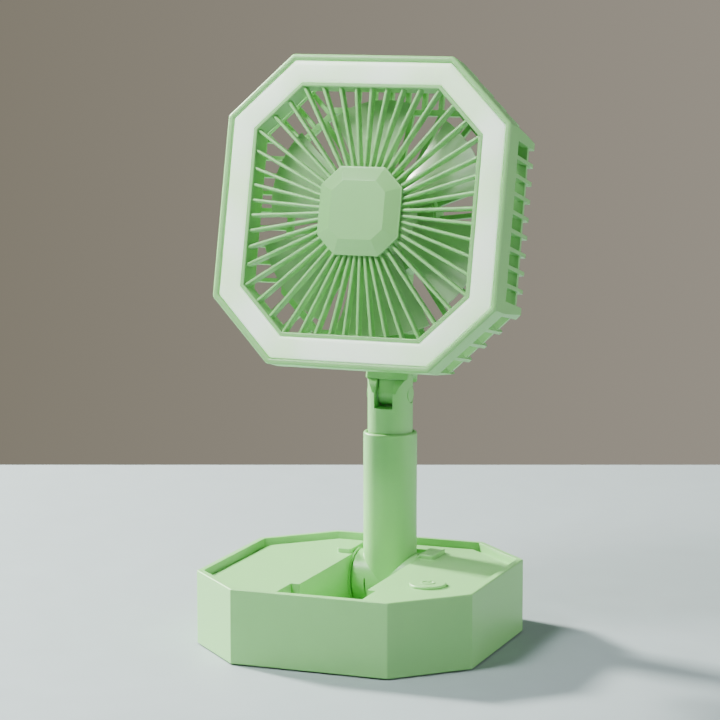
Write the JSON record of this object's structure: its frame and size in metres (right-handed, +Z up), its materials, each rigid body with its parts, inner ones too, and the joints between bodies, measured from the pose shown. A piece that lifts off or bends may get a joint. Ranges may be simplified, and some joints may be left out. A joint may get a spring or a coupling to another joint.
{
  "type": "desk fan",
  "caption": "Folding telescopic desk fan with an octagonal ribbed head, a lit front ring, a tilting neck and an octagonal base with a storage channel.",
  "frame": {"origin": "middle of the base, on the table under the feet", "axes": "+Z up, -Y towards the front of the fan, +X to the right seen from the front"},
  "size_m": [0.1514, 0.147, 0.2965],
  "materials": {
    "mint_shell": "fine spark-eroded satin",
    "mint_button": "fine satin",
    "mint_arm": "fine satin",
    "mint_cage": "fine satin",
    "mint_grille": "semi-gloss moulded",
    "mint_cap": "fine satin",
    "light_diffuser": "milky, lit from behind",
    "blade_plastic": "satin moulded",
    "white_acetal": "turned satin",
    "steel": "zinc plated",
    "plated_steel": "bright plated",
    "foot_rubber": "matt",
    "circuit_board": "solder mask",
    "white_board": "white solder mask",
    "lamp_chip": "phosphor resin",
    "black_resin": "moulded",
    "cell_wrap": "shrink wrap",
    "copper_wire": "enamelled",
    "magnet": "sintered"
  },
  "bodies": {
    "base": {"base_shell": "mint_shell", "base_deck": "mint_shell", "hinge_washers": "mint_arm", "hinge_pin": "steel", "button_switch": "black_resin", "control_board": "circuit_board", "board_parts": "black_resin", "battery_cells": "cell_wrap", "usb_socket": "steel", "rubber_feet": "foot_rubber", "base_screws": "steel"},
    "button": {"power_button": "mint_button"},
    "arm": {"arm_outer_tube": "mint_arm", "slide_bush": "white_acetal"},
    "neck": {"neck_tube": "mint_arm", "guide_ring": "white_acetal", "tilt_pin": "plated_steel", "tilt_caps": "mint_arm", "tilt_washers": "white_acetal"},
    "head": {"head_bracket": "mint_arm", "head_band": "mint_cage", "side_ribs": "mint_cage", "cage_hoop": "mint_cage", "rear_ribs": "mint_cage", "rear_grille": "mint_cage", "motor_seat": "mint_cage", "front_bezel": "mint_cage", "led_diffuser": "light_diffuser", "led_board": "white_board", "led_chips": "lamp_chip", "grille_rim": "mint_grille", "front_grille": "mint_grille", "hub_cap": "mint_cap", "motor_stator": "steel", "motor_coils": "copper_wire", "motor_board": "circuit_board", "bearings": "steel", "cover_screws": "steel"},
    "rotor": {"impeller": "blade_plastic", "rotor_cup": "plated_steel", "magnet_ring": "magnet", "motor_shaft": "plated_steel"}
  },
  "joints": [
    {"name": "button_press", "type": "slide", "parent": "base", "child": "button", "axis": [0, 0, 1], "range_m": [-0.0008, 0], "stiffness_N_per_m": 1500, "springref_m": 0.0002},
    {"name": "arm_fold", "type": "hinge", "parent": "base", "child": "arm", "pos_m": [0, 0.0424, 0.0225], "axis": [-1, 0, 0], "range_deg": [-60, 0]},
    {"name": "neck_slide", "type": "slide", "parent": "arm", "child": "neck", "axis": [0, 0, 1], "range_m": [0, 0.04]},
    {"name": "head_tilt", "type": "hinge", "parent": "neck", "child": "head", "pos_m": [0, 0.0424, 0.1205], "axis": [1, 0, 0], "range_deg": [-50, 34]},
    {"name": "fan_spin", "type": "hinge", "parent": "head", "child": "rotor", "pos_m": [0, -0.00304, 0.21993], "axis": [0, -0.9707, 0.2402], "continuous": true}
  ]
}
